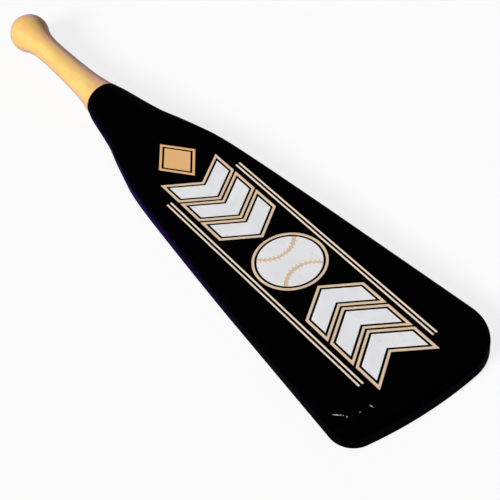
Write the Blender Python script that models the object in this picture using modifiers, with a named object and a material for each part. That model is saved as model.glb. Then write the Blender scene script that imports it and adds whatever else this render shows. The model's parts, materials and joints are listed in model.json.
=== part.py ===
"""Flat baseball training bat: a turned knob and handle that spread into a broad flat blade.

The blank is glued up from five staves keyed together by loose tongues. A thick black coat covers the neck and
the blade, and a printed film of separate islands lies on its front.

Lengths are in metres. The bat lies flat, its axis along X, the knob at -X and the tip at +X. The origin is on
the surface below the middle of its length, at the height of the knob's lowest point.
"""
import math

import bmesh
import bpy

# The whole bat
LENGTH = 0.686
BLADE_THICKNESS = 0.022
BLADE_ROUND_OVER = 0.006
KNOB_RADIUS = 0.0216
KNOB_END_RADIUS = 0.0080
GRIP_RADIUS = 0.0136
NECK_RADIUS = 0.0204

# Stations along the axis, from the end of the knob
KNOB_STATION = 0.0220
GRIP_STATION = 0.080
DIP_LINE = 0.179
FLAT_START = 0.290
SIDE_START = 0.500

# Half widths of the knob, the grip, the neck and the shoulders: (station, half width)
PROFILE = (
    (0.0000, KNOB_END_RADIUS),
    (0.0015, 0.0102),
    (0.0040, 0.0131),
    (0.0075, 0.0161),
    (0.0115, 0.0188),
    (0.0160, 0.0207),
    (KNOB_STATION, KNOB_RADIUS),
    (0.0265, 0.0211),
    (0.0300, 0.0201),
    (0.0328, 0.0188),
    (0.0352, 0.0179),
    (0.0400, 0.0166),
    (0.0460, 0.0153),
    (0.0520, 0.0144),
    (0.0620, 0.0138),
    (GRIP_STATION, GRIP_RADIUS),
    (0.1120, 0.0142),
    (0.1320, 0.0150),
    (0.1520, 0.0164),
    (DIP_LINE, NECK_RADIUS),
    (0.1900, 0.0237),
    (0.2050, 0.0267),
    (0.2220, 0.0297),
    (0.2430, 0.0340),
    (0.2620, 0.0397),
    (0.2840, 0.0456),
    (0.3100, 0.0522),
    (0.3450, 0.0574),
    (0.4200, 0.0654),
    (SIDE_START, 0.0730),
)

# The straight sides and the uneven tip, by side: the left lies towards +Y and the right towards -Y
LEFT, RIGHT = 1, -1
SIDE_SLOPE = {LEFT: 0.0905, RIGHT: 0.0826}
CORNER_RADIUS = {LEFT: 0.0429, RIGHT: 0.0242}
END_RADIUS = 0.395
END_OFFSET = 0.0126

# The coat and the gaps between pieces
GAP = 0.0003
COAT_THICKNESS = 0.0005
COAT_PROUD = 0.0002
CORE_INSET = COAT_THICKNESS - COAT_PROUD + GAP

# The staves and the tongues between them
CENTRE_STAVE_WIDTH = 0.048
WING_STAVE_WIDTH = 0.030
TONGUE_THICKNESS = 0.003
TONGUE_WIDTH = 0.012
TONGUE_EDGE = 0.0004
INNER_TONGUE_SPAN = (0.305, 0.655)
OUTER_TONGUE_SPAN = (0.430, 0.640)

# The printed film
FILM_THICKNESS = 0.0003
KEYLINE_WIDTH = 0.0024
KEYLINE_CLEARANCE = 0.0022
CHEVRON_HALF_WIDTH = 0.028
CHEVRON_BAND = 0.019
CHEVRON_REACH = 0.020
CHEVRON_PITCH = 0.033
CHEVRONS_A_SIDE = 3
BALL_STATION = 0.495
BALL_RADIUS = 0.030
BALL_TO_CHEVRON = 0.045
SEAM_CENTRE = 0.036
SEAM_RADIUS = 0.026
SEAM_WIDTH = 0.002
DIAMOND_STATION = 0.317
DIAMOND_HALF_LENGTH = 0.022
DIAMOND_HALF_WIDTH = 0.016
LINE_SPAN = (0.362, 0.640)
LINE_WIDTH = 0.0016
LINE_OFFSETS = (0.0385, 0.0425)

# How finely the surfaces are divided
RING_QUARTER = 8
CURVE_STEPS = 2
TAPER_STEPS = 3
CORNER_STEPS = 8
END_STEPS = 7
ARC_STEP = math.radians(7.5)
WELD = 0.000001


def clear_scene():
    for item in list(bpy.data.objects):
        bpy.data.objects.remove(item, do_unlink=True)


def new_collection(name):
    collection = bpy.data.collections.new(name)
    bpy.context.scene.collection.children.link(collection)
    return collection


def new_material(name, colour, roughness):
    material = bpy.data.materials.new(name)
    material.use_nodes = True
    shader = material.node_tree.nodes["Principled BSDF"]
    shader.inputs["Base Color"].default_value = (*colour, 1.0)
    shader.inputs["Roughness"].default_value = roughness
    shader.inputs["Metallic"].default_value = 0.0
    material.diffuse_color = (*colour, 1.0)
    return material


def smoothstep(low, high, value):
    share = min(max((value - low) / (high - low), 0.0), 1.0)
    return share * share * (3.0 - 2.0 * share)


# The plan outline. Both sides are worked out alike, as distances from the axis.

def profile_half_width(station):
    """Half width from the knob's end to the start of the straight sides, on a smooth curve through PROFILE."""
    points = PROFILE
    last = len(points) - 2
    span = next((i for i in range(last) if station < points[i + 1][0]), last)

    def slope(i):
        if i == len(points) - 1:
            return (SIDE_SLOPE[LEFT] + SIDE_SLOPE[RIGHT]) / 2
        before = max(i - 1, 0)
        return (points[i + 1][1] - points[before][1]) / (points[i + 1][0] - points[before][0])

    (x0, y0), (x1, y1) = points[span], points[span + 1]
    reach = x1 - x0
    t = (station - x0) / reach
    return ((2 * t**3 - 3 * t**2 + 1) * y0 + (t**3 - 2 * t**2 + t) * reach * slope(span)
            + (3 * t**2 - 2 * t**3) * y1 + (t**3 - t**2) * reach * slope(span + 1))


def side_half_width(station, side):
    """Half width along the straight side, carried on past the corner."""
    return PROFILE[-1][1] + SIDE_SLOPE[side] * (station - SIDE_START)


SIDE_ANGLE = {side: math.atan(slope) for side, slope in SIDE_SLOPE.items()}
END_CENTRE = LENGTH - END_RADIUS


def corner_centre(side):
    """Centre of the corner's arc, which touches the straight side and the end's arc from inside."""
    radius = CORNER_RADIUS[side]
    low, high = SIDE_START, LENGTH
    for _ in range(50):
        middle = (low + high) / 2
        across = side_half_width(middle, side) - radius / math.cos(SIDE_ANGLE[side])
        if math.hypot(middle - END_CENTRE, across - side * END_OFFSET) > END_RADIUS - radius:
            high = middle
        else:
            low = middle
    return middle, across


CORNER_CENTRE = {side: corner_centre(side) for side in (LEFT, RIGHT)}
CORNER_START = {side: math.pi / 2 + SIDE_ANGLE[side] for side in (LEFT, RIGHT)}
CORNER_END = {side: math.atan2(y - side * END_OFFSET, x - END_CENTRE) for side, (x, y) in CORNER_CENTRE.items()}


def spread(low, high, steps):
    """Evenly spaced values after low, up to high."""
    return [low + (high - low) * (i + 1) / steps for i in range(steps)]


def outline(side, inset):
    """(station, distance from the axis) along one side of the plan, drawn in by inset, to the tip's far point."""
    stations = [PROFILE[0][0]]
    for (x0, _), (x1, _) in zip(PROFILE, PROFILE[1:]):
        stations += spread(x0, x1, CURVE_STEPS)
    rows = [(x, profile_half_width(x) - inset) for x in stations]
    corner_x, corner_y = CORNER_CENTRE[side]
    corner_start = corner_x + CORNER_RADIUS[side] * math.cos(CORNER_START[side])
    for x in spread(SIDE_START, corner_start, TAPER_STEPS)[:-1]:
        rows.append((x, side_half_width(x, side) - inset / math.cos(SIDE_ANGLE[side])))
    widest = math.pi / 2
    radius = CORNER_RADIUS[side] - inset
    for angle in [CORNER_START[side], widest] + spread(widest, CORNER_END[side], CORNER_STEPS):
        rows.append((corner_x + radius * math.cos(angle), corner_y + radius * math.sin(angle)))
    radius = END_RADIUS - inset
    for angle in spread(CORNER_END[side], 0.0, END_STEPS):
        rows.append((END_CENTRE + radius * math.cos(angle), side * END_OFFSET + radius * math.sin(angle)))
    return rows


def outline_pairs(inset):
    """Points of the left and the right side, pair by pair, from the knob's end to the tip's far point."""
    return list(zip(outline(LEFT, inset), outline(RIGHT, inset)))


# The lofted body

def depth_inside(x, y, inset):
    """Distance in plan from a point of the blade to the outline drawn in by inset."""
    side = LEFT if y >= 0.0 else RIGHT
    y = side * y
    corner_x, corner_y = CORNER_CENTRE[side]
    angle = math.atan2(y - corner_y, x - corner_x)
    if CORNER_END[side] < angle < CORNER_START[side]:
        return CORNER_RADIUS[side] - inset - math.hypot(x - corner_x, y - corner_y)
    to_side = (side_half_width(x, side) - y) * math.cos(SIDE_ANGLE[side]) - inset
    to_end = END_RADIUS - inset - math.hypot(x - END_CENTRE, y - side * END_OFFSET)
    return min(to_side, to_end)


def ring(left, right, inset):
    """Section between two outline points: a circle on the handle, a board with rounded-over edges on the blade."""
    middle = ((left[0] + right[0]) / 2, (left[1] - right[1]) / 2)
    reach = ((left[0] - right[0]) / 2, (left[1] + right[1]) / 2)
    half_width = math.hypot(*reach)
    flatness = smoothstep(DIP_LINE, FLAT_START, middle[0])
    neck = NECK_RADIUS - inset if flatness > 0 else half_width
    upright = BLADE_THICKNESS / 2 - BLADE_ROUND_OVER
    round_over = BLADE_ROUND_OVER - inset
    edge = min(round_over, half_width)
    over = []
    for k in range(2 * RING_QUARTER + 1):
        j = min(k, 2 * RING_QUARTER - k)
        turn = math.pi / 2 * j / RING_QUARTER
        round_y, round_z = half_width * math.cos(turn), neck * math.sin(turn)
        bend = math.pi / 2 * min(max(j - 1, 0) / (RING_QUARTER - 2), 1.0)
        flat_y = half_width - edge * (1.0 - math.cos(bend)) if j < RING_QUARTER else 0.0
        along = round_y + (flat_y - round_y) * flatness
        share = along / half_width if half_width > WELD else 0.0
        if k > RING_QUARTER:
            share = -share
        x, y = middle[0] + reach[0] * share, middle[1] + reach[1] * share
        flat_z = upright + round_over * math.sin(bend)
        if x > SIDE_START:
            depth = min(max(depth_inside(x, y, inset) / round_over, 0.0), 1.0)
            flat_z = upright + round_over * math.sqrt(depth * (2.0 - depth))
        if j == 0:
            flat_z = 0.0
        over.append((x, y, round_z + (flat_z - round_z) * flatness))
    under = [(x, y, -z) for x, y, z in reversed(over[1:-1])]
    return over + under


def loft(name, rings, close_start):
    """Mesh over a row of rings, the last of them an upright line, with a flat cap at the start if asked."""
    bm = bmesh.new()
    rows = [[bm.verts.new(point) for point in one] for one in rings]
    count = len(rows[0])
    for near, far in zip(rows, rows[1:]):
        for i in range(count):
            j = (i + 1) % count
            bm.faces.new((near[i], near[j], far[j], far[i]))
    if close_start:
        bm.faces.new(rows[0])
    bmesh.ops.remove_doubles(bm, verts=bm.verts, dist=WELD)
    bmesh.ops.recalc_face_normals(bm, faces=bm.faces)
    mesh = bpy.data.meshes.new(name)
    bm.to_mesh(mesh)
    bm.free()
    return mesh


def wood_blank():
    """The whole glued blank: bare from the knob to the dip line, and set in under the coat beyond it."""
    lip = DIP_LINE - GAP
    bare = [pair for pair in outline_pairs(0.0) if pair[0][0] < lip]
    rings = [ring(left, right, 0.0) for left, right in bare]
    for inset in (0.0, CORE_INSET):
        rim = (lip, profile_half_width(lip) - inset)
        rings.append(ring(rim, rim, inset))
    rings.extend(ring(left, right, CORE_INSET) for left, right in outline_pairs(CORE_INSET) if left[0] > DIP_LINE)
    return loft("wood_blank", rings, close_start=True)


def coat_surface():
    """The outer face of the coat, open at the neck."""
    pairs = [pair for pair in outline_pairs(-COAT_PROUD) if pair[0][0] > DIP_LINE - GAP / 2]
    return loft("coat_surface", [ring(left, right, -COAT_PROUD) for left, right in pairs], close_start=False)


# Flat outlines

def arc(centre_x, centre_y, radius, start, stop):
    """Points of an arc, both ends included."""
    steps = max(2, math.ceil(abs(stop - start) / ARC_STEP))
    turns = [start + (stop - start) * i / steps for i in range(steps + 1)]
    return [(centre_x + radius * math.cos(a), centre_y + radius * math.sin(a)) for a in turns]


def grown(points, distance):
    """The outline moved outwards by distance, with sharp corners kept. Points run anticlockwise."""
    moved = []
    for i, (x, y) in enumerate(points):
        px, py = points[i - 1]
        nx, ny = points[(i + 1) % len(points)]
        before = math.atan2(y - py, x - px)
        after = math.atan2(ny - y, nx - x)
        half_turn = (after - before) / 2
        normal = before + half_turn - math.pi / 2
        reach = distance / math.cos(half_turn)
        moved.append((x + reach * math.cos(normal), y + reach * math.sin(normal)))
    return moved


def chevron(apex, direction):
    """A band bent to a point, with the point at station apex, looking along +X or -X."""
    wing = apex - direction * CHEVRON_REACH
    tail = wing - direction * CHEVRON_BAND
    points = [
        (apex, 0.0), (wing, CHEVRON_HALF_WIDTH), (tail, CHEVRON_HALF_WIDTH),
        (apex - direction * CHEVRON_BAND, 0.0),
        (tail, -CHEVRON_HALF_WIDTH), (wing, -CHEVRON_HALF_WIDTH),
    ]
    return points if direction > 0 else points[::-1]


def crossing_angles(reach, radius):
    """Half angles at which a circle of this radius, reach away from the ball's centre, crosses its rim."""
    at_seam = math.acos((reach**2 + radius**2 - BALL_RADIUS**2) / (2 * reach * radius))
    at_ball = math.acos((reach**2 + BALL_RADIUS**2 - radius**2) / (2 * reach * BALL_RADIUS))
    return at_seam, at_ball


def ball_cap(direction):
    """The part of the ball beyond a seam, on the tip's side for +1 and on the neck's side for -1."""
    radius = SEAM_RADIUS - SEAM_WIDTH / 2 - GAP
    at_seam, at_ball = crossing_angles(SEAM_CENTRE, radius)
    rim = arc(0.0, 0.0, BALL_RADIUS, -at_ball, at_ball)
    seam = arc(SEAM_CENTRE, 0.0, radius, math.pi - at_seam, math.pi + at_seam)
    return place_on_ball(rim + seam[1:-1], direction)


def ball_middle():
    """The part of the ball between its two seams."""
    radius = SEAM_RADIUS + SEAM_WIDTH / 2 + GAP
    at_seam, at_ball = crossing_angles(SEAM_CENTRE, radius)
    right = arc(SEAM_CENTRE, 0.0, radius, math.pi + at_seam, math.pi - at_seam)
    top = arc(0.0, 0.0, BALL_RADIUS, at_ball, math.pi - at_ball)
    left = [(-x, -y) for x, y in right]
    bottom = [(-x, -y) for x, y in top]
    return place_on_ball(right + top[1:-1] + left + bottom[1:-1], 1)


def seam(direction):
    """One curved seam of the ball, cut off at the ball's rim."""
    inner, outer = SEAM_RADIUS - SEAM_WIDTH / 2, SEAM_RADIUS + SEAM_WIDTH / 2
    near, _ = crossing_angles(SEAM_CENTRE, inner)
    far, _ = crossing_angles(SEAM_CENTRE, outer)
    points = arc(SEAM_CENTRE, 0.0, outer, math.pi - far, math.pi + far)
    points += arc(SEAM_CENTRE, 0.0, inner, math.pi + near, math.pi - near)
    return place_on_ball(points, direction)


def place_on_ball(points, direction):
    return [(BALL_STATION + direction * x, direction * y) for x, y in points]


def diamond(grow):
    points = [
        (DIAMOND_STATION + DIAMOND_HALF_LENGTH, 0.0), (DIAMOND_STATION, DIAMOND_HALF_WIDTH),
        (DIAMOND_STATION - DIAMOND_HALF_LENGTH, 0.0), (DIAMOND_STATION, -DIAMOND_HALF_WIDTH),
    ]
    return grown(points, grow) if grow else points


# Objects

def add_object(name, mesh, material, collection, parent):
    mesh.materials.clear()
    mesh.materials.append(material)
    item = bpy.data.objects.new(name, mesh)
    collection.objects.link(item)
    item.parent = parent
    return item


def box_mesh(name, low, high):
    bm = bmesh.new()
    bmesh.ops.create_cube(bm, size=1.0)
    for vert in bm.verts:
        for axis in range(3):
            vert.co[axis] = low[axis] + (vert.co[axis] + 0.5) * (high[axis] - low[axis])
    mesh = bpy.data.meshes.new(name)
    bm.to_mesh(mesh)
    bm.free()
    return mesh


def add_cutter(name, low, high, cutters, parent):
    item = bpy.data.objects.new(name, box_mesh(name, low, high))
    cutters.objects.link(item)
    item.parent = parent
    item.hide_render = True
    item.display_type = "WIRE"
    return item


def add_boolean(item, cutter, operation):
    modifier = item.modifiers.new(cutter.name, "BOOLEAN")
    modifier.operation = operation
    modifier.solver = "EXACT"
    modifier.object = cutter


def add_flat(name, outlines, height, material, collection, parent):
    """A film cut to one outline, or to an outer and an inner one, with its lower face at height."""
    curve = bpy.data.curves.new(name, "CURVE")
    curve.dimensions = "2D"
    curve.fill_mode = "BOTH"
    curve.extrude = FILM_THICKNESS / 2
    for points in outlines:
        spline = curve.splines.new("POLY")
        spline.points.add(len(points) - 1)
        for point, (x, y) in zip(spline.points, points):
            point.co = (x, y, 0.0, 1.0)
        spline.use_cyclic_u = True
    drawn = bpy.data.objects.new(name, curve)
    collection.objects.link(drawn)
    graph = bpy.context.evaluated_depsgraph_get()
    mesh = bpy.data.meshes.new_from_object(drawn.evaluated_get(graph))
    bpy.data.objects.remove(drawn, do_unlink=True)
    bm = bmesh.new()
    bm.from_mesh(mesh)
    bmesh.ops.remove_doubles(bm, verts=bm.verts, dist=WELD)
    bmesh.ops.recalc_face_normals(bm, faces=bm.faces)
    bm.to_mesh(mesh)
    bm.free()
    mesh.name = name
    item = add_object(name, mesh, material, collection, parent)
    item.location = (0.0, 0.0, height + FILM_THICKNESS / 2)
    return item


def shade(item, angle):
    item.data.shade_smooth()
    item.data.set_sharp_from_angle(angle=math.radians(angle))


# The pieces

def glue_line(index):
    """Distance from the axis to the first or the second glue line."""
    return CENTRE_STAVE_WIDTH / 2 + index * WING_STAVE_WIDTH


def build_staves(wood, parts, cutters, parent):
    blank = wood_blank()
    reach = KNOB_RADIUS * 2
    beyond = LENGTH + reach
    edges = (glue_line(0), glue_line(1), side_half_width(LENGTH, LEFT) + reach)
    spans = {"centre_stave": (-edges[0] + GAP / 2, edges[0] - GAP / 2)}
    for name, low, high in (("inner_wing", edges[0], edges[1]), ("outer_wing", edges[1], edges[2])):
        spans[name + "_left"] = (low + GAP / 2, high - GAP / 2)
        spans[name + "_right"] = (-high + GAP / 2, -low - GAP / 2)
    for name, (low, high) in spans.items():
        stave = add_object(name, blank.copy(), wood, parts, parent)
        slab = add_cutter(name + "_slab", (-reach, low, -reach), (beyond, high, reach), cutters, parent)
        add_boolean(stave, slab, "INTERSECT")
        for slot in slots_beside(low, high):
            add_boolean(stave, slot_cutter(slot, cutters, parent), "DIFFERENCE")
        shade(stave, 40)


def tongue_places():
    """Name, distance from the axis and span of each loose tongue."""
    for side, sign in (("left", 1), ("right", -1)):
        yield "inner_tongue_" + side, sign * glue_line(0), INNER_TONGUE_SPAN
        yield "outer_tongue_" + side, sign * glue_line(1), OUTER_TONGUE_SPAN


def slots_beside(low, high):
    """The tongues whose glue line runs along an edge of a stave that lies between low and high."""
    return [place for place in tongue_places() if min(abs(place[1] - low), abs(place[1] - high)) < GAP]


def tongue_box(y, span, margin):
    low = (span[0] - margin, y - TONGUE_WIDTH / 2 - margin, -TONGUE_THICKNESS / 2 - margin)
    high = (span[1] + margin, y + TONGUE_WIDTH / 2 + margin, TONGUE_THICKNESS / 2 + margin)
    return low, high


def slot_cutter(place, cutters, parent):
    name, y, span = place
    cutter_name = name + "_slot"
    if cutter_name in cutters.objects:
        return cutters.objects[cutter_name]
    return add_cutter(cutter_name, *tongue_box(y, span, GAP), cutters, parent)


def build_tongues(wood, parts, parent):
    for name, y, span in tongue_places():
        item = add_object(name, box_mesh(name, *tongue_box(y, span, 0.0)), wood, parts, parent)
        bevel = item.modifiers.new("eased_edges", "BEVEL")
        bevel.width = TONGUE_EDGE
        bevel.segments = 1


def build_coat(lacquer, parts, parent):
    coat = add_object("black_coat", coat_surface(), lacquer, parts, parent)
    shade(coat, 50)
    wall = coat.modifiers.new("wall", "SOLIDIFY")
    wall.thickness = COAT_THICKNESS
    wall.offset = -1.0
    wall.use_even_offset = True


def build_print(inks, parts, parent):
    white, tan, cream = inks
    height = BLADE_THICKNESS / 2 + COAT_PROUD + GAP
    outer = KEYLINE_CLEARANCE + KEYLINE_WIDTH

    def film(name, outlines, ink):
        add_flat(name, outlines, height, ink, parts, parent)

    number = 0
    for direction in (1, -1):
        for step in range(CHEVRONS_A_SIDE):
            number += 1
            apex = BALL_STATION - direction * (BALL_TO_CHEVRON + step * CHEVRON_PITCH)
            shape = chevron(apex, direction)
            film(f"print_chevron_{number}", [shape], white)
            film(f"print_keyline_{number}", [grown(shape, outer), grown(shape, KEYLINE_CLEARANCE)], tan)

    film("print_ball_middle", [ball_middle()], white)
    film("print_ball_cap_neck", [ball_cap(-1)], white)
    film("print_ball_cap_tip", [ball_cap(1)], white)
    film("print_seam_neck", [seam(-1)], tan)
    film("print_seam_tip", [seam(1)], tan)
    radii = (BALL_RADIUS + outer, BALL_RADIUS + KEYLINE_CLEARANCE)
    film("print_ball_ring", [arc(BALL_STATION, 0.0, radius, 0.0, math.tau)[:-1] for radius in radii], tan)

    film("print_diamond", [diamond(0.0)], tan)
    film("print_diamond_frame", [diamond(outer), diamond(KEYLINE_CLEARANCE)], tan)

    offsets = [sign * offset for sign in (1, -1) for offset in LINE_OFFSETS]
    for i, y in enumerate(offsets):
        low, high = y - LINE_WIDTH / 2, y + LINE_WIDTH / 2
        corners = [(LINE_SPAN[0], low), (LINE_SPAN[1], low), (LINE_SPAN[1], high), (LINE_SPAN[0], high)]
        film(f"print_line_{i + 1}", [corners], cream)


def main():
    clear_scene()
    parts = new_collection("flat_training_bat")
    cutters = new_collection("cutters")
    axis = bpy.data.objects.new("bat_axis", None)
    axis.location = (-LENGTH / 2, 0.0, KNOB_RADIUS)
    parts.objects.link(axis)
    wood = new_material("natural_lacquered_wood", (0.80, 0.52, 0.20), 0.35)
    hidden_wood = new_material("bare_wood", (0.66, 0.46, 0.25), 0.70)
    lacquer = new_material("black_lacquer", (0.010, 0.009, 0.012), 0.40)
    white = new_material("white_ink", (0.75, 0.75, 0.78), 0.50)
    tan = new_material("tan_ink", (0.78, 0.54, 0.30), 0.50)
    cream = new_material("cream_ink", (0.80, 0.69, 0.55), 0.50)
    build_staves(wood, parts, cutters, axis)
    build_tongues(hidden_wood, parts, axis)
    build_coat(lacquer, parts, axis)
    build_print((white, tan, cream), parts, axis)


main()
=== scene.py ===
"""Flat baseball training bat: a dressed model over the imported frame.

The centre stave with its turned handle, the dipped black coat and the stitches of the printed ball are
built here. The side staves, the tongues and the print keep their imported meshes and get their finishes.

Lengths are in metres. The bat's axis runs along X, with the knob at -X and the tip at +X, and the print
looks along +Z. A station is a distance along the axis from the end of the knob.
"""

import json
import math

import bmesh
import bpy
from bpy.props import FloatProperty, FloatVectorProperty, IntProperty, PointerProperty
from mathutils import Matrix, Vector


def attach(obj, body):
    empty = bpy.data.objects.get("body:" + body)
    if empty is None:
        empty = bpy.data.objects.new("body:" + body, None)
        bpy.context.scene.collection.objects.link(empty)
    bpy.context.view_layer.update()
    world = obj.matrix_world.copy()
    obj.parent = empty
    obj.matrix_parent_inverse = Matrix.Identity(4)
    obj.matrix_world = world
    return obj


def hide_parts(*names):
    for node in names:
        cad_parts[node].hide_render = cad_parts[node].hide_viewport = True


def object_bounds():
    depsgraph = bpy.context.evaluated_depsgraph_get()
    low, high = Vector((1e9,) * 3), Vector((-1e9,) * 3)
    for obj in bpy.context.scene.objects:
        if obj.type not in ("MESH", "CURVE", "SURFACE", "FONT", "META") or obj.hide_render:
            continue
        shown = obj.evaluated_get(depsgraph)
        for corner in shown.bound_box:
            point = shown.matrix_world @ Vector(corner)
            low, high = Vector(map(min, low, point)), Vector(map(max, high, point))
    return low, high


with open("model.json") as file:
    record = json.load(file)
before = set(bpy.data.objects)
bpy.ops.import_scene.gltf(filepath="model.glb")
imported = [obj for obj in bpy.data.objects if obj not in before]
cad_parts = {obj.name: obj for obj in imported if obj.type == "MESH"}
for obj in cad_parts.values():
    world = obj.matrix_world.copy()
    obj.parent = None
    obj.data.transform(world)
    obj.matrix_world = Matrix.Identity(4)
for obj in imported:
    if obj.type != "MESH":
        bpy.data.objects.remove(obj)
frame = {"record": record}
CAD_LOW, CAD_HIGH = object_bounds()

bl_info = {
    "name": "Flat Training Bat",
    "version": (1, 0, 0),
    "blender": (4, 5, 0),
    "location": "View3D > Sidebar > Training Bat",
    "description": "Builds a flat wooden training bat over its packed frame",
    "category": "Add Mesh",
}

# The bat
LENGTH = 0.686
BLADE_THICKNESS = 0.022
BLADE_ROUND_OVER = 0.006
KNOB_RADIUS = 0.0216
KNOB_STATION = 0.0220
NECK_RADIUS = 0.0204
DIP_LINE = 0.179
FLAT_START = 0.290
SIDE_START = 0.500

# Half widths of the knob, the grip, the neck and the shoulders: (station, half width)
PROFILE = (
    (0.0000, 0.0080),
    (0.0015, 0.0102),
    (0.0040, 0.0131),
    (0.0075, 0.0161),
    (0.0115, 0.0188),
    (0.0160, 0.0207),
    (KNOB_STATION, KNOB_RADIUS),
    (0.0265, 0.0211),
    (0.0300, 0.0201),
    (0.0328, 0.0188),
    (0.0352, 0.0179),
    (0.0400, 0.0166),
    (0.0460, 0.0153),
    (0.0520, 0.0144),
    (0.0620, 0.0138),
    (0.0800, 0.0136),
    (0.1120, 0.0142),
    (0.1320, 0.0150),
    (0.1520, 0.0164),
    (DIP_LINE, NECK_RADIUS),
    (0.1900, 0.0237),
    (0.2050, 0.0267),
    (0.2220, 0.0297),
    (0.2430, 0.0340),
    (0.2620, 0.0397),
    (0.2840, 0.0456),
    (0.3100, 0.0522),
    (0.3450, 0.0574),
    (0.4200, 0.0654),
    (SIDE_START, 0.0730),
)

# The straight sides and the uneven tip, by side: the left lies towards +Y and the right towards -Y
LEFT, RIGHT = 1, -1
SIDE_SLOPE = {LEFT: 0.0905, RIGHT: 0.0826}
CORNER_RADIUS = {LEFT: 0.0429, RIGHT: 0.0242}
END_RADIUS = 0.395
END_OFFSET = 0.0126

# The coat, and the gaps between pieces
GAP = 0.0003
COAT_THICKNESS = 0.0005
COAT_PROUD = 0.0002
CORE_INSET = COAT_THICKNESS - COAT_PROUD + GAP
COAT_LIP_RADIUS = 0.00018
COAT_LIP_STEPS = 3

# The rounded edge of the knob's flat end
KNOB_EDGE_RADIUS = 0.0006
KNOB_EDGE_TURN = math.pi / 4
KNOB_EDGE_STEPS = 6
KNOB_END_STEPS = 4

# The centre stave and the slots for its tongues
CENTRE_STAVE_WIDTH = 0.048
TONGUE_THICKNESS = 0.003
TONGUE_WIDTH = 0.012
TONGUE_SPAN = (0.305, 0.655)

# The printed ball and its two seams, each an arc that ends at the ball's rim
BALL_STATION = 0.495
BALL_RADIUS = 0.030
SEAM_CENTRE = 0.036
SEAM_RADIUS = 0.026
SEAM_HALF_SWEEP = math.acos(
    (SEAM_CENTRE**2 + SEAM_RADIUS**2 - BALL_RADIUS**2) / (2 * SEAM_CENTRE * SEAM_RADIUS))
FILM_THICKNESS = 0.0003

# Its stitches: their share of a seam's arc, the lean of a leg, its height, its sides, and how high its middle
# lies, as a share of its height
STITCHED_SHARE = 0.90
STITCH_SLANT = math.radians(34)
STITCH_LIFT = 0.00012
STITCH_SIDES = 10
STITCH_MIDDLE = 0.6

# Scuffs through the coat near the tip, on the front: (x, y, length, width, turn from the X axis, strength)
SCUFFS = (
    (0.3074, -0.0734, 0.0108, 0.0013, math.radians(44.0), 1.0),
    (0.3132, -0.0691, 0.0016, 0.0014, 0.0, 1.0),
    (0.3148, -0.0655, 0.0014, 0.0011, 0.0, 0.3),
    (0.3166, -0.0583, 0.0016, 0.0014, 0.0, 0.7),
    (0.3183, -0.0478, 0.0052, 0.0013, math.radians(12.0), 1.0),
)

# The soft edge of a scuff, as squares of the distance in half sizes, and the heights where scuffs set in
SCUFF_EDGE = (0.4, 1.0)
SCUFF_HEIGHTS = (KNOB_RADIUS, KNOB_RADIUS + 0.01)

# Painted bounce light: a violet glow painted into the coat's colour on the lower half of its sides. Heights
# from the middle of the blade, places along the bat, its strength at the neck, and what haze adds to it
PAINTED_BOUNCE_BOTTOM = (-0.0110, -0.0095)
PAINTED_BOUNCE_TOP = (-0.0060, 0.0110)
PAINTED_BOUNCE_RISE = (-0.13, 0.0)
PAINTED_BOUNCE_FADE = (0.00, 0.20)
PAINTED_BOUNCE_LEAST = 0.4
PAINTED_BOUNCE_HAZE = -0.25

# Noise patterns: waves per metre, on all axes or on each, and detail. A mask also has the values where it
# starts and where it is full.
WOOD_WARP = ((7.0, 45.0, 45.0), 2.0)
WOOD_FIBRES = ((28.0, 1300.0, 1300.0), 2.0)
WOOD_STREAKS = ((5.0, 190.0, 190.0), 3.0, 0.35, 0.75)
WOOD_MOTTLE = (24.0, 2.0, 0.35, 0.70)
WOOD_PORES = ((110.0, 2100.0, 2100.0), 1.0, 0.66, 0.74)
WOOD_CLOUDS = ((30.0, 85.0, 85.0), 2.0, 0.42, 0.72)
FILM_GRAIN = (1500.0, 2.0)
FILM_CLOUDS = (55.0, 3.0, 0.30, 0.75)
FILM_PINHOLES = (620.0, 1.0, 0.74, 0.79)
FILM_RUB = ((60.0, 900.0, 900.0), 2.0, 0.66, 0.80)
COAT_PEEL = (260.0, 2.0)
COAT_HAZE = (16.0, 3.0, 0.35, 0.75)
COAT_HAIRLINES = ((35.0, 1500.0, 1500.0), 1.0, 0.68, 0.74)
SCUFF_FLECKS = ((700.0, 900.0, 900.0), 2.0, 0.38, 0.56)
FLOOR_SPECKLE = (90.0, 2.0)

# How strongly the patterns show in the wood
RING_BEND = 0.012
RING_SHARPNESS = 3.0
RING_EDGE = (0.90, 1.0)
RING_RELIEF = 0.3
STREAK_TONE = 0.22
MOTTLE_TONE = 0.14
PORE_TONE = 0.16
PORE_DEPTH = -0.8
FIBRE_TONE = 0.18
CLOUD_TONE = 0.45
WOOD_ROUGHNESS = 0.26
MOTTLE_ROUGHNESS = 0.10
FIBRE_ROUGHNESS = 0.12
BARE_ROUGHNESS = 0.35

# How strongly the patterns show in the printed film
FILM_SHADE = (0.45, 0.40, 0.36, 1.0)
FILM_SHADE_TONE = 0.10
FILM_WORN = (0.05, 0.045, 0.045, 1.0)
FILM_ROUGHNESS = 0.42
FILM_CLOUD_ROUGHNESS = 0.12
FILM_GRAIN_RELIEF = 0.4
WEAR_DEPTH = -1.0

# How strongly the patterns show in the coat
CLOUDY_COAT = (0.0005, 0.0004, 0.0006, 1.0)
CLOUDY_TONE = 0.5
COAT_ROUGHNESS = 0.58
HAZE_ROUGHNESS = 0.08
HAIRLINE_ROUGHNESS = 0.08
HAIRLINE_DEPTH = -0.25
SCUFF_ROUGHNESS = 0.3
SCUFF_DEPTH = -1.0

# How finely the surfaces are divided, and how near to each other points are welded
ROUND_STEPS = 24
FLAT_STEPS = 10
TURNED_CURVE_STEPS = 8
BLADE_CURVE_STEPS = 7
TAPER_STEPS = 14
CORNER_STEPS = 36
END_STEPS = 30
WELD = 0.000001

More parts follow.
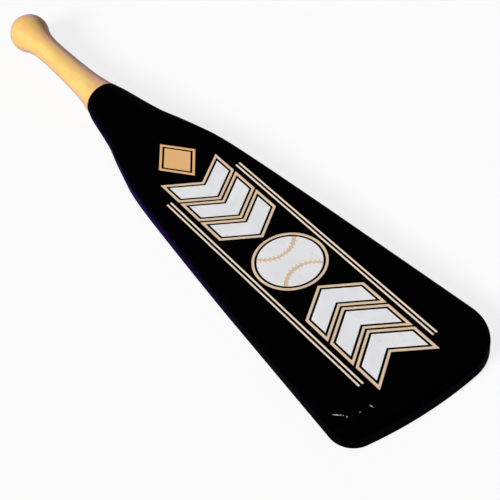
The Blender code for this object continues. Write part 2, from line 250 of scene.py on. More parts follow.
# How often the search for a corner's centre is halved
HALVINGS = 50

# Edges sharper than this many degrees aren't shaded smooth
STAVE_SHARP_FROM = 40.0
SHARP_FROM = 50.0

# The camera, from a fit to the photograph
CAMERA_PLACE = (0.77376, -0.41781, 0.86075)
CAMERA_RIGHT = (0.59952, 0.79511, -0.09151)
CAMERA_UP = (-0.54365, 0.48847, 0.68253)
FOCAL_LENGTH = 90.0
SENSOR_WIDTH = 36.0
FRAME_SHIFT = (-0.0011, -0.0289)

# The lights: the way towards each, and how many degrees wide it is
KEY_TOWARD = (0.17, -0.83, 0.53)
KEY_WIDTH = 22.0
FILL_TOWARD = (-0.64, 0.76, 0.12)
FILL_WIDTH = 60.0

# The floor: it carries the knob and the back of the tip
KNOB_REST = (-0.3215, 0.0)
TIP_REST = (0.337, 0.0104)
FLOOR_FLAT_RADIUS = 2.6
FLOOR_RIM_RADIUS = 3.6
FLOOR_RIM_HEIGHT = 1.5
FLOOR_SEGMENTS = 96
FLOOR_FLAT_STEPS = 10
FLOOR_RIM_STEPS = 24
FLOOR_GLOW = 0.83
FLOOR_SPECK = (0.80, 0.80, 0.80, 1.0)
FLOOR_SPECK_TONE = 0.02


# Settings a user would change

def paint(name, description, red, green, blue):
    """A colour setting."""
    return FloatVectorProperty(name=name, description=description, subtype="COLOR", size=4,
                               default=(red, green, blue, 1.0), min=0.0, max=1.0)


class BatWoodSettings(bpy.types.PropertyGroup):
    sides: IntProperty(
        name="Turned Sides", description="Faces round the turned handle", default=112, min=24, max=256)
    pale: paint("Pale Wood", "Colour of the early wood under clear lacquer", 0.84, 0.60, 0.185)
    dark: paint("Dark Wood", "Colour of the late wood and the streaks", 0.66, 0.31, 0.060)
    flush: paint("Flushed Wood", "Colour of the soft rosy clouds in the wood", 0.86, 0.40, 0.19)
    ring_pitch: FloatProperty(
        name="Ring Pitch", description="Distance between two growth rings", default=0.0032, min=0.0005,
        max=0.02, unit="LENGTH", precision=4)


class BatCoatSettings(bpy.types.PropertyGroup):
    colour: paint("Coat", "Colour of the dipped lacquer", 0.0002, 0.0002, 0.0002)
    # Painted bounce light: the violet that is painted on the lower half of the coat's sides
    cast: paint("Painted Violet Bounce", "Colour of the lower half of the sides, from the neck to the middle",
                0.0130, 0.0008, 0.056)
    scuff: paint("Scuff", "Colour of the scuffs near the tip", 0.60, 0.58, 0.57)


class BatPrintSettings(bpy.types.PropertyGroup):
    white: paint("White Ink", "Colour of the ball and the chevrons", 0.88, 0.885, 0.91)
    tan: paint("Tan Ink", "Colour of the keylines, the ball's ring, its seams and their stitches",
               0.79, 0.59, 0.40)
    amber: paint("Amber Ink", "Colour of the diamond and its frame", 0.86, 0.49, 0.19)
    cream: paint("Cream Ink", "Colour of the thin lines", 0.88, 0.76, 0.60)
    stitches: IntProperty(
        name="Stitches", description="Stitches along each seam of the printed ball", default=12, min=3,
        max=60)
    stitch_length: FloatProperty(
        name="Stitch Length", description="Length of one leg of a stitch", default=0.0036, min=0.001,
        max=0.02, unit="LENGTH", precision=4)
    stitch_width: FloatProperty(
        name="Stitch Width", description="Width of one leg of a stitch", default=0.0010, min=0.0002,
        max=0.004, unit="LENGTH", precision=4)


class BatStageSettings(bpy.types.PropertyGroup):
    floor: paint("Floor", "Colour of the floor and its raised rim", 0.95, 0.95, 0.95)
    bounce: paint("Bounce", "Colour that the floor throws back on the bat", 0.20, 0.15, 0.19)
    key: FloatProperty(
        name="Key", description="Strength of the key light", default=4.3, min=0.0, max=10.0)
    fill: FloatProperty(
        name="Fill", description="Strength of the light from behind", default=2.2, min=0.0, max=10.0)
    sky: FloatProperty(
        name="Sky", description="Strength of the even light", default=0.05, min=0.0, max=2.0)


# The plan outline. Both sides are worked out alike, as distances from the axis.

def smoothstep(low, high, value):
    share = min(max((value - low) / (high - low), 0.0), 1.0)
    return share * share * (3.0 - 2.0 * share)


def profile_half_width(station):
    """Half width between the knob's end and the straight sides, on a smooth curve through PROFILE."""
    points = PROFILE
    last = len(points) - 2
    span = next((i for i in range(last) if station < points[i + 1][0]), last)

    def slope(i):
        if i == len(points) - 1:
            return (SIDE_SLOPE[LEFT] + SIDE_SLOPE[RIGHT]) / 2
        before = max(i - 1, 0)
        return (points[i + 1][1] - points[before][1]) / (points[i + 1][0] - points[before][0])

    (x0, y0), (x1, y1) = points[span], points[span + 1]
    reach = x1 - x0
    t = (station - x0) / reach
    return ((2 * t**3 - 3 * t**2 + 1) * y0 + (t**3 - 2 * t**2 + t) * reach * slope(span)
            + (3 * t**2 - 2 * t**3) * y1 + (t**3 - t**2) * reach * slope(span + 1))


def side_half_width(station, side):
    """Half width along the straight side, carried on past the corner."""
    return PROFILE[-1][1] + SIDE_SLOPE[side] * (station - SIDE_START)


SIDE_ANGLE = {side: math.atan(slope) for side, slope in SIDE_SLOPE.items()}
END_CENTRE = LENGTH - END_RADIUS


def corner_centre(side):
    """Centre of the corner's arc, which touches the straight side and the end's arc from inside."""
    radius = CORNER_RADIUS[side]
    low, high = SIDE_START, LENGTH
    for _ in range(HALVINGS):
        middle = (low + high) / 2
        across = side_half_width(middle, side) - radius / math.cos(SIDE_ANGLE[side])
        if math.hypot(middle - END_CENTRE, across - side * END_OFFSET) > END_RADIUS - radius:
            high = middle
        else:
            low = middle
    return middle, across


CORNER_CENTRE = {side: corner_centre(side) for side in (LEFT, RIGHT)}
CORNER_START = {side: math.pi / 2 + SIDE_ANGLE[side] for side in (LEFT, RIGHT)}
CORNER_END = {side: math.atan2(y - side * END_OFFSET, x - END_CENTRE)
              for side, (x, y) in CORNER_CENTRE.items()}


def spread(low, high, steps):
    """Evenly spaced values after low, up to high."""
    return [low + (high - low) * (i + 1) / steps for i in range(steps)]


def profile_stations(low, high, steps):
    """Stations between low and high, with this many steps from each point of PROFILE to the next."""
    stations = [low]
    for (x0, _), (x1, _) in zip(PROFILE, PROFILE[1:]):
        if x1 > low and x0 < high:
            stations += spread(max(x0, low), min(x1, high), steps)
    return stations


def blade_side(side, inset):
    """(station, distance from the axis) along one side of the blade, from the dip line to the tip's end."""
    rows = [(x, profile_half_width(x) - inset)
            for x in profile_stations(DIP_LINE, SIDE_START, BLADE_CURVE_STEPS)]
    corner_x, corner_y = CORNER_CENTRE[side]
    corner_start = corner_x + CORNER_RADIUS[side] * math.cos(CORNER_START[side])
    for x in spread(SIDE_START, corner_start, TAPER_STEPS)[:-1]:
        rows.append((x, side_half_width(x, side) - inset / math.cos(SIDE_ANGLE[side])))
    widest = math.pi / 2
    radius = CORNER_RADIUS[side] - inset
    for angle in [CORNER_START[side], widest] + spread(widest, CORNER_END[side], CORNER_STEPS):
        rows.append((corner_x + radius * math.cos(angle), corner_y + radius * math.sin(angle)))
    radius = END_RADIUS - inset
    for angle in spread(CORNER_END[side], 0.0, END_STEPS):
        rows.append((END_CENTRE + radius * math.cos(angle), side * END_OFFSET + radius * math.sin(angle)))
    return rows


def blade_pairs(inset):
    """Points of the left and the right side of the blade, pair by pair."""
    return list(zip(blade_side(LEFT, inset), blade_side(RIGHT, inset)))


def depth_inside(x, y, inset):
    """Distance in plan from a point of the blade to the outline drawn in by inset."""
    side = LEFT if y >= 0.0 else RIGHT
    y = side * y
    corner_x, corner_y = CORNER_CENTRE[side]
    angle = math.atan2(y - corner_y, x - corner_x)
    if CORNER_END[side] < angle < CORNER_START[side]:
        return CORNER_RADIUS[side] - inset - math.hypot(x - corner_x, y - corner_y)
    to_side = (side_half_width(x, side) - y) * math.cos(SIDE_ANGLE[side]) - inset
    to_end = END_RADIUS - inset - math.hypot(x - END_CENTRE, y - side * END_OFFSET)
    return min(to_side, to_end)


def blade_ring(left, right, inset):
    """Section between two outline points: a circle at the dip line that grows into a rounded-over board."""
    middle = ((left[0] + right[0]) / 2, (left[1] - right[1]) / 2)
    reach = ((left[0] - right[0]) / 2, (left[1] + right[1]) / 2)
    half_width = math.hypot(*reach)
    flatness = smoothstep(DIP_LINE, FLAT_START, middle[0])
    neck = NECK_RADIUS - inset
    upright = BLADE_THICKNESS / 2 - BLADE_ROUND_OVER
    round_over = BLADE_ROUND_OVER - inset
    edge = min(round_over, half_width)
    last_turn = math.pi / 2 * (ROUND_STEPS - 1) / ROUND_STEPS
    quarter = ROUND_STEPS + FLAT_STEPS - 1
    over = []
    for k in range(2 * quarter + 1):
        j = min(k, 2 * quarter - k)
        if j < ROUND_STEPS:
            turn = math.pi / 2 * j / ROUND_STEPS
            bend = math.pi / 2 * max(j - 1, 0) / (ROUND_STEPS - 2)
            round_y, round_z = half_width * math.cos(turn), neck * math.sin(turn)
            flat_y = half_width - edge * (1.0 - math.cos(bend))
            flat_z = upright + round_over * math.sin(bend)
        else:
            left_over = 1.0 - (j - ROUND_STEPS + 1) / FLAT_STEPS
            across = math.cos(last_turn) * left_over
            round_y, round_z = half_width * across, neck * math.sqrt(1.0 - across * across)
            flat_y = (half_width - edge) * left_over
            flat_z = upright + round_over
        along = round_y + (flat_y - round_y) * flatness
        share = along / half_width if half_width > WELD else 0.0
        if k > quarter:
            share = -share
        x, y = middle[0] + reach[0] * share, middle[1] + reach[1] * share
        if x > SIDE_START:
            depth = min(max(depth_inside(x, y, inset) / round_over, 0.0), 1.0)
            flat_z = upright + round_over * math.sqrt(depth * (2.0 - depth))
        if j == 0:
            flat_z = 0.0
        over.append((x, y, round_z + (flat_z - round_z) * flatness))
    under = [(x, y, -z) for x, y, z in reversed(over[1:-1])]
    return over + under


# Meshes

def add_rings(bm, rings):
    """Faces over a row of rings. Returns the vertices, ring by ring."""
    rows = [[bm.verts.new(point) for point in one] for one in rings]
    count = len(rows[0])
    for near, far in zip(rows, rows[1:]):
        for i in range(count):
            j = (i + 1) % count
            bm.faces.new((near[i], near[j], far[j], far[i]))
    return rows


def close_up(bm):
    """Welds the vertices and turns the faces outwards."""
    bmesh.ops.remove_doubles(bm, verts=bm.verts, dist=WELD)
    bmesh.ops.recalc_face_normals(bm, faces=bm.faces)


def to_mesh(bm, name):
    """Hands over the mesh and frees its maker."""
    mesh = bpy.data.meshes.new(name)
    bm.to_mesh(mesh)
    bm.free()
    return mesh


def shade(mesh, sharp_from):
    """Smooth shading, but for the edges that are sharper than this many degrees."""
    mesh.shade_smooth()
    mesh.set_sharp_from_angle(angle=math.radians(sharp_from))


def add_piece(name, mesh, material):
    mesh.materials.clear()
    mesh.materials.append(material)
    piece = bpy.data.objects.new(name, mesh)
    bpy.context.scene.collection.objects.link(piece)
    return piece


def evaluated_mesh(piece):
    """The piece's mesh with its modifiers applied."""
    graph = bpy.context.evaluated_depsgraph_get()
    return bpy.data.meshes.new_from_object(piece.evaluated_get(graph))


def apply_modifiers(piece):
    mesh = evaluated_mesh(piece)
    piece.modifiers.clear()
    piece.data = mesh


def box_mesh(name, low, high):
    bm = bmesh.new()
    bmesh.ops.create_cube(bm, size=1.0)
    for vert in bm.verts:
        for axis in range(3):
            vert.co[axis] = low[axis] + (vert.co[axis] + 0.5) * (high[axis] - low[axis])
    return to_mesh(bm, name)


def cut(piece, low, high, operation):
    """Boolean of the piece with a box, applied at once."""
    cutter = bpy.data.objects.new("cutter", box_mesh("cutter", low, high))
    bpy.context.scene.collection.objects.link(cutter)
    modifier = piece.modifiers.new("cut", "BOOLEAN")
    modifier.operation = operation
    modifier.solver = "EXACT"
    modifier.object = cutter
    apply_modifiers(piece)
    bpy.data.objects.remove(cutter, do_unlink=True)


def set_in_frame(mesh):
    """Moves a mesh made round the bat's own axis to its place in the frame."""
    mesh.transform(Matrix.Translation((-LENGTH / 2, 0.0, KNOB_RADIUS)))


# Node helpers

def feed(tree, target, inputs):
    """Links the sockets among the inputs to a node, and sets the other values on it."""
    for key, value in inputs.items():
        if isinstance(value, bpy.types.NodeSocket):
            tree.links.new(value, target.inputs[key])
        else:
            target.inputs[key].default_value = value


def node(tree, kind, inputs=None, **settings):
    """A new node with its settings and its inputs."""
    made = tree.nodes.new(kind)
    for key, value in settings.items():
        setattr(made, key, value)
    feed(tree, made, inputs or {})
    return made


def calc(tree, operation, *values, clamp=False):
    """Output of a Math node on sockets or numbers."""
    made = node(tree, "ShaderNodeMath", dict(enumerate(values)), operation=operation, use_clamp=clamp)
    return made.outputs[0]


def squares(tree, first, second):
    """Output of the sum of two squares."""
    return calc(tree, "ADD", calc(tree, "MULTIPLY", first, first), calc(tree, "MULTIPLY", second, second))


def step_up(tree, value, low, high):
    """Value mapped from low..high to 0..1 with soft ends."""
    made = node(tree, "ShaderNodeMapRange", {"Value": value, "From Min": low, "From Max": high},
                interpolation_type="SMOOTHSTEP")
    return made.outputs["Result"]


def step_down(tree, value, low, high):
    """Value mapped from low..high to 1..0 with soft ends."""
    return calc(tree, "SUBTRACT", 1.0, step_up(tree, value, low, high))


def noise(tree, place, waves, detail):
    """Output of a noise with this many waves per metre, on all axes or on each."""
    if isinstance(waves, tuple):
        place = node(tree, "ShaderNodeVectorMath", {0: place, 1: waves}, operation="MULTIPLY").outputs[0]
        waves = 1.0
    made = node(tree, "ShaderNodeTexNoise", {"Vector": place, "Scale": waves, "Detail": detail})
    return made.outputs["Fac"]


def patches(tree, place, pattern):
    """Mask of a noise pattern."""
    waves, detail, low, high = pattern
    return step_up(tree, noise(tree, place, waves, detail), low, high)


def blend(tree, factor, first, second):
    """Output of a colour mix: inputs 6 and 7 and output 2 are its colour sockets."""
    return node(tree, "ShaderNodeMix", {0: factor, 6: first, 7: second}, data_type="RGBA").outputs[2]


def new_group(name, kind, inputs, outputs):
    """A node group with named sockets. Returns the tree and its input and output nodes."""
    tree = bpy.data.node_groups.new(name, kind)
    for label, socket_type, default in inputs:
        socket = tree.interface.new_socket(name=label, in_out="INPUT", socket_type=socket_type)
        if default is not None:
            socket.default_value = default
    for label, socket_type in outputs:
        tree.interface.new_socket(name=label, in_out="OUTPUT", socket_type=socket_type)
    return tree, tree.nodes.new("NodeGroupInput"), tree.nodes.new("NodeGroupOutput")


def shared_group(name, build):
    """A node group that is built once."""
    return bpy.data.node_groups.get(name) or build()


def end_group(tree, inside, outside, geometry):
    """Ends a Geometry Nodes group: realizes what is instanced and sets the finish."""
    realized = node(tree, "GeometryNodeRealizeInstances", {"Geometry": geometry})
    finished = node(tree, "GeometryNodeSetMaterial", {
        "Geometry": realized.outputs[0], "Material": inside.outputs["Finish"]})
    feed(tree, outside, {"Geometry": finished.outputs[0]})
    return tree


def set_inputs(modifier, values):
    """Sets a Geometry Nodes modifier's inputs by the identifiers of their sockets."""
    sockets = {item.name: item.identifier for item in modifier.node_group.interface.items_tree
               if item.item_type == "SOCKET" and item.in_out == "INPUT"}
    for name, value in values.items():
        modifier[sockets[name]] = value


def nodes_mesh(name, base, group, values):
    """The plain mesh that a Geometry Nodes group makes of a base mesh."""
    maker = bpy.data.objects.new(name, base)
    bpy.context.scene.collection.objects.link(maker)
    modifier = maker.modifiers.new(name, "NODES")
    modifier.node_group = group
    set_inputs(modifier, values)
    mesh = evaluated_mesh(maker)
    bpy.data.objects.remove(maker, do_unlink=True)
    return mesh


def new_material(name):
    """A new material. Returns it, its tree, its Principled shader and its Object coordinates."""
    material = bpy.data.materials.new(name)
    material.use_nodes = True
    tree = material.node_tree
    shader = tree.nodes["Principled BSDF"]
    place = tree.nodes.new("ShaderNodeTexCoord").outputs["Object"]
    return material, tree, shader, place


def bump(tree, height, strength, distance):
    made = node(tree, "ShaderNodeBump", {"Height": height, "Strength": strength, "Distance": distance})
    return made.outputs["Normal"]


# Shared effects

def wood_grain_group():
    """Growth rings, streaks, fibres and pores of a board whose length runs along X."""
    tree, inside, outside = new_group(
        "Wood Grain", "ShaderNodeTree",
        (("Vector", "NodeSocketVector", None), ("Pale", "NodeSocketColor", None),
         ("Dark", "NodeSocketColor", None),
         ("Ring Pitch", "NodeSocketFloat", 0.003), ("Ring Strength", "NodeSocketFloat", 0.2),
         ("Pith Y", "NodeSocketFloat", 0.03), ("Pith Z", "NodeSocketFloat", -0.04)),
        (("Colour", "NodeSocketColor"), ("Roughness", "NodeSocketFloat"), ("Height", "NodeSocketFloat")))
    place = inside.outputs["Vector"]
    parts = node(tree, "ShaderNodeSeparateXYZ", {0: place})
    away_y = calc(tree, "SUBTRACT", parts.outputs["Y"], inside.outputs["Pith Y"])
    away_z = calc(tree, "SUBTRACT", parts.outputs["Z"], inside.outputs["Pith Z"])
    warp = calc(tree, "MULTIPLY", noise(tree, place, *WOOD_WARP), RING_BEND)
    bent = calc(tree, "ADD", calc(tree, "SQRT", squares(tree, away_y, away_z)), warp)
    turns = calc(tree, "FRACT", calc(tree, "DIVIDE", bent, inside.outputs["Ring Pitch"]))
    late = calc(tree, "POWER", turns, RING_SHARPNESS)
    late = calc(tree, "MULTIPLY", late, step_down(tree, turns, *RING_EDGE))
    streaks, mottle, pores = (patches(tree, place, one) for one in (WOOD_STREAKS, WOOD_MOTTLE, WOOD_PORES))
    fibres = noise(tree, place, *WOOD_FIBRES)
    amount = calc(tree, "MULTIPLY", late, inside.outputs["Ring Strength"])
    for mask, share in ((streaks, STREAK_TONE), (mottle, MOTTLE_TONE), (pores, PORE_TONE)):
        amount = calc(tree, "MULTIPLY_ADD", mask, share, amount)
    amount = calc(tree, "MULTIPLY_ADD", fibres, FIBRE_TONE, amount, clamp=True)
    rough = calc(tree, "MULTIPLY_ADD", fibres, FIBRE_ROUGHNESS, WOOD_ROUGHNESS)
    relief = calc(tree, "MULTIPLY_ADD", late, RING_RELIEF, fibres)
    feed(tree, outside, {
        "Colour": blend(tree, amount, inside.outputs["Pale"], inside.outputs["Dark"]),
        "Roughness": calc(tree, "MULTIPLY_ADD", mottle, MOTTLE_ROUGHNESS, rough),
        "Height": calc(tree, "MULTIPLY_ADD", pores, PORE_DEPTH, relief)})
    return tree


def film_wear_group():
    """Ink on a printed film: faint clouds of tone, pinholes and a fine rub along the bat."""
    tree, inside, outside = new_group(
        "Film Wear", "ShaderNodeTree",
        (("Vector", "NodeSocketVector", None), ("Ink", "NodeSocketColor", None),
         ("Wear", "NodeSocketFloat", 0.5)),
        (("Colour", "NodeSocketColor"), ("Roughness", "NodeSocketFloat"), ("Height", "NodeSocketFloat")))
    place = inside.outputs["Vector"]
    clouds, pinholes, rub = (patches(tree, place, one) for one in (FILM_CLOUDS, FILM_PINHOLES, FILM_RUB))
    shaded = blend(tree, calc(tree, "MULTIPLY", clouds, FILM_SHADE_TONE), inside.outputs["Ink"], FILM_SHADE)
    worn = calc(tree, "MULTIPLY", calc(tree, "MAXIMUM", pinholes, rub), inside.outputs["Wear"], clamp=True)
    grain = calc(tree, "MULTIPLY", noise(tree, place, *FILM_GRAIN), FILM_GRAIN_RELIEF)
    feed(tree, outside, {
        "Colour": blend(tree, worn, shaded, FILM_WORN),
        "Roughness": calc(tree, "MULTIPLY_ADD", clouds, FILM_CLOUD_ROUGHNESS, FILM_ROUGHNESS),
        "Height": calc(tree, "MULTIPLY_ADD", worn, WEAR_DEPTH, grain)})
    return tree


def grain_of(tree, inputs):
    """A node with the shared wood grain."""
    return node(tree, "ShaderNodeGroup", inputs, node_tree=shared_group("Wood Grain", wood_grain_group))


# Finishes

def lacquered_wood(settings):
    material, tree, shader, place = new_material("natural_lacquered_wood")
    grain = grain_of(tree, {
        "Vector": place, "Pale": settings.pale, "Dark": settings.dark, "Ring Pitch": settings.ring_pitch,
        "Ring Strength": 0.16})
    clouds = calc(tree, "MULTIPLY", patches(tree, place, WOOD_CLOUDS), CLOUD_TONE)
    feed(tree, shader, {
        "Base Color": blend(tree, clouds, grain.outputs["Colour"], settings.flush),
        "Roughness": grain.outputs["Roughness"],
        "Specular IOR Level": 0.02,
        "Coat Weight": 0.2,
        "Coat Roughness": 0.32,
        "Sheen Weight": 0.95,
        "Sheen Roughness": 0.39,
        "Sheen Tint": (0.56, 0.14, 0.72, 1.0),
        "Normal": bump(tree, grain.outputs["Height"], strength=0.25, distance=0.00006)})
    return material


def bare_wood():
    material, tree, shader, place = new_material("bare_wood")
    grain = grain_of(tree, {
        "Vector": place, "Pale": (0.70, 0.50, 0.28, 1.0), "Dark": (0.46, 0.29, 0.14, 1.0),
        "Ring Pitch": 0.0018, "Ring Strength": 0.5, "Pith Y": -0.06, "Pith Z": 0.05})
    feed(tree, shader, {
        "Base Color": grain.outputs["Colour"],
        "Roughness": calc(tree, "ADD", grain.outputs["Roughness"], BARE_ROUGHNESS),
        "Normal": bump(tree, grain.outputs["Height"], strength=0.5, distance=0.0001)})
    return material


def scuff_mask(tree, parts):
    """Short thin scuffs, each an ellipse turned in the plane of the front."""
    mask = None
    for x, y, length, width, turn, strength in SCUFFS:
        away_x = calc(tree, "SUBTRACT", parts.outputs["X"], x)
        away_y = calc(tree, "SUBTRACT", parts.outputs["Y"], y)
        along = calc(tree, "ADD", calc(tree, "MULTIPLY", away_x, math.cos(turn)),
                     calc(tree, "MULTIPLY", away_y, math.sin(turn)))
        across = calc(tree, "SUBTRACT", calc(tree, "MULTIPLY", away_y, math.cos(turn)),
                      calc(tree, "MULTIPLY", away_x, math.sin(turn)))
        along = calc(tree, "DIVIDE", along, length / 2)
        across = calc(tree, "DIVIDE", across, width / 2)
        patch = calc(tree, "MULTIPLY", step_down(tree, squares(tree, along, across), *SCUFF_EDGE), strength)
        mask = patch if mask is None else calc(tree, "MAXIMUM", mask, patch)
    return calc(tree, "MULTIPLY", mask, step_up(tree, parts.outputs["Z"], *SCUFF_HEIGHTS))


def painted_violet_bounce(tree, parts, haze):
    """Mask of painted bounce light on the lower half of the sides, which rises from the neck and fades before
    the tip.
    """
    height = calc(tree, "SUBTRACT", parts.outputs["Z"], KNOB_RADIUS)
    band = calc(tree, "MULTIPLY", step_up(tree, height, *PAINTED_BOUNCE_BOTTOM), step_down(tree, height, *PAINTED_BOUNCE_TOP))
    band = calc(tree, "MULTIPLY", band, step_down(tree, parts.outputs["X"], *PAINTED_BOUNCE_FADE))
    rise = step_up(tree, parts.outputs["X"], *PAINTED_BOUNCE_RISE)
    rise = calc(tree, "MULTIPLY_ADD", rise, 1.0 - PAINTED_BOUNCE_LEAST, PAINTED_BOUNCE_LEAST)
    cloudy = calc(tree, "MULTIPLY_ADD", haze, PAINTED_BOUNCE_HAZE, 1.0)
    return calc(tree, "MULTIPLY", band, calc(tree, "MULTIPLY", rise, cloudy))


def black_lacquer(settings):
    material, tree, shader, place = new_material("black_lacquer")
    parts = node(tree, "ShaderNodeSeparateXYZ", {0: place})
    haze, hairlines = patches(tree, place, COAT_HAZE), patches(tree, place, COAT_HAIRLINES)
    scuffed = calc(tree, "MULTIPLY", scuff_mask(tree, parts), patches(tree, place, SCUFF_FLECKS), clamp=True)
    cloudy = blend(tree, calc(tree, "MULTIPLY", haze, CLOUDY_TONE), settings.colour, CLOUDY_COAT)
    # Painted bounce light: violet mixed into the coat's colour on the lower half of its sides
    dipped = blend(tree, painted_violet_bounce(tree, parts, haze), cloudy, settings.cast)
    rough = calc(tree, "MULTIPLY_ADD", hairlines, HAIRLINE_ROUGHNESS, COAT_ROUGHNESS)
    rough = calc(tree, "MULTIPLY_ADD", haze, HAZE_ROUGHNESS, rough)
    relief = calc(tree, "MULTIPLY_ADD", hairlines, HAIRLINE_DEPTH, noise(tree, place, *COAT_PEEL))
    relief = calc(tree, "MULTIPLY_ADD", scuffed, SCUFF_DEPTH, relief)
    feed(tree, shader, {
        "Base Color": blend(tree, scuffed, dipped, settings.scuff),
        "Roughness": calc(tree, "MULTIPLY_ADD", scuffed, SCUFF_ROUGHNESS, rough),
        "Specular IOR Level": 0.003,
        "Sheen Weight": 0.02,
        "Sheen Roughness": 0.3,
        "Sheen Tint": (0.30, 0.05, 1.0, 1.0),
        "Normal": bump(tree, relief, strength=0.15, distance=0.00008)})
    return material


def ink(name, colour, wear):
    material, tree, shader, place = new_material(name)
    film = node(tree, "ShaderNodeGroup", {"Vector": place, "Ink": colour, "Wear": wear},
                node_tree=shared_group("Film Wear", film_wear_group))
    feed(tree, shader, {
        "Base Color": film.outputs["Colour"],
        "Roughness": film.outputs["Roughness"],
        "Specular IOR Level": 0.3,
        "Normal": bump(tree, film.outputs["Height"], strength=0.15, distance=0.00005)})
    return material


def seen_directly(tree):
    """1 for what the camera sees, also in a gloss or through glass."""
    path = tree.nodes.new("ShaderNodeLightPath")
    through = calc(tree, "MAXIMUM", path.outputs["Is Glossy Ray"], path.outputs["Is Transmission Ray"])
    return calc(tree, "MAXIMUM", path.outputs["Is Camera Ray"], through)


def floor_finish(settings):
    """Pale floor. It throws back less light than the camera sees on it, and from below it is clear."""
    material, tree, shader, place = new_material("studio_floor")
    specks = calc(tree, "MULTIPLY", noise(tree, place, *FLOOR_SPECKLE), FLOOR_SPECK_TONE)
    seen = seen_directly(tree)
    feed(tree, shader, {
        "Base Color": blend(tree, seen, settings.bounce, blend(tree, specks, settings.floor, FLOOR_SPECK)),
        "Roughness": 0.9,
        "Specular IOR Level": 0.0})
    glow = node(tree, "ShaderNodeEmission", {"Color": (1.0, 1.0, 1.0, 1.0), "Strength": 1.0})
    lighter = node(tree, "ShaderNodeMixShader", {
        0: calc(tree, "MULTIPLY", seen, FLOOR_GLOW), 1: shader.outputs[0], 2: glow.outputs[0]})
    clear = tree.nodes.new("ShaderNodeBsdfTransparent")
    behind = tree.nodes.new("ShaderNodeNewGeometry").outputs["Backfacing"]
    sided = node(tree, "ShaderNodeMixShader", {0: behind, 1: lighter.outputs[0], 2: clear.outputs[0]})
    tree.links.new(sided.outputs[0], tree.nodes["Material Output"].inputs["Surface"])
    return material


def use_finish(nodes, material):
    """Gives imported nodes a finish."""
    for name in nodes:
        for slot in bpy.data.objects[name].material_slots:
            slot.material = material


# The turned handle

def turned_line():
    """Half widths of the bare wood from the middle of the knob's end to the dip line, as a line of points."""
    lip = DIP_LINE - GAP
    widest = (CAD_HIGH.z - CAD_LOW.z) / 2
    start = profile_half_width(0.0)
    line = [(0.0, start * i / KNOB_END_STEPS) for i in range(KNOB_END_STEPS)]
    for i in range(KNOB_EDGE_STEPS + 1):
        bend = KNOB_EDGE_TURN * i / KNOB_EDGE_STEPS
        line.append((KNOB_EDGE_RADIUS * (1.0 - math.cos(bend)),
                     start - KNOB_EDGE_RADIUS * (math.sin(KNOB_EDGE_TURN) - math.sin(bend))))
    stations = profile_stations(line[-1][0], lip, TURNED_CURVE_STEPS)[1:]
    return line + [(x, min(profile_half_width(x), widest)) for x in stations]


def lathe_group():
    """Turns a line of (station, half width) points about the X axis."""
    tree, inside, outside = new_group(
        "Turned Handle", "GeometryNodeTree",
        (("Line", "NodeSocketGeometry", None), ("Sides", "NodeSocketInt", 96),
         ("Weld", "NodeSocketFloat", WELD), ("Finish", "NodeSocketMaterial", None)),
        (("Geometry", "NodeSocketGeometry"),))
    count = node(tree, "GeometryNodeAttributeDomainSize", {0: inside.outputs["Line"]}, component="MESH")
    points = count.outputs["Point Count"]
    across = calc(tree, "ADD", inside.outputs["Sides"], 1.0)
    grid = node(tree, "GeometryNodeMeshGrid", {
        "Size X": 1.0, "Size Y": 1.0, "Vertices X": points, "Vertices Y": across})
    place = node(tree, "ShaderNodeSeparateXYZ", {0: tree.nodes.new("GeometryNodeInputPosition").outputs[0]})
    along = calc(tree, "ROUND", calc(tree, "MULTIPLY", calc(tree, "ADD", place.outputs["X"], 0.5),
                                     calc(tree, "SUBTRACT", points, 1.0)))
    turn = calc(tree, "MULTIPLY", calc(tree, "ADD", place.outputs["Y"], 0.5), -math.tau)
    known = node(tree, "GeometryNodeSampleIndex", {
        "Geometry": inside.outputs["Line"], "Index": along,
        "Value": tree.nodes.new("GeometryNodeInputPosition").outputs[0]}, data_type="FLOAT_VECTOR")
    sample = node(tree, "ShaderNodeSeparateXYZ", {0: known.outputs["Value"]})
    turned = node(tree, "ShaderNodeCombineXYZ", {
        "X": sample.outputs["X"],
        "Y": calc(tree, "MULTIPLY", sample.outputs["Y"], calc(tree, "COSINE", turn)),
        "Z": calc(tree, "MULTIPLY", sample.outputs["Y"], calc(tree, "SINE", turn))})
    moved = node(tree, "GeometryNodeSetPosition", {
        "Geometry": grid.outputs["Mesh"], "Position": turned.outputs[0]})
    merged = node(tree, "GeometryNodeMergeByDistance", {
        "Geometry": moved.outputs[0], "Distance": inside.outputs["Weld"]})
    return end_group(tree, inside, outside, merged.outputs[0])


def stave_mesh(sides, material):
    """The turned handle and, under the coat, the core of the blade, as one closed mesh."""
    line = bpy.data.meshes.new("turned_line")
    points = [(x, radius, 0.0) for x, radius in turned_line()]
    line.from_pydata(points, [(i, i + 1) for i in range(len(points) - 1)], [])
    turned = nodes_mesh("turned_handle", line, shared_group("Turned Handle", lathe_group), {
        "Sides": sides, "Weld": WELD, "Finish": material})
    bm = bmesh.new()
    bm.from_mesh(turned)
    lip = [edge for edge in bm.edges if edge.is_boundary]
    start = DIP_LINE - GAP
    rim = (start, profile_half_width(start) - CORE_INSET)
    pairs = [(rim, rim)] + blade_pairs(CORE_INSET)[1:]
    core = add_rings(bm, [blade_ring(left, right, CORE_INSET) for left, right in pairs])
    first = set(core[0])
    step = [edge for edge in bm.edges if edge.verts[0] in first and edge.verts[1] in first]
    bmesh.ops.bridge_loops(bm, edges=lip + step)
    close_up(bm)
    return to_mesh(bm, "centre_stave_wood")


# The stitches

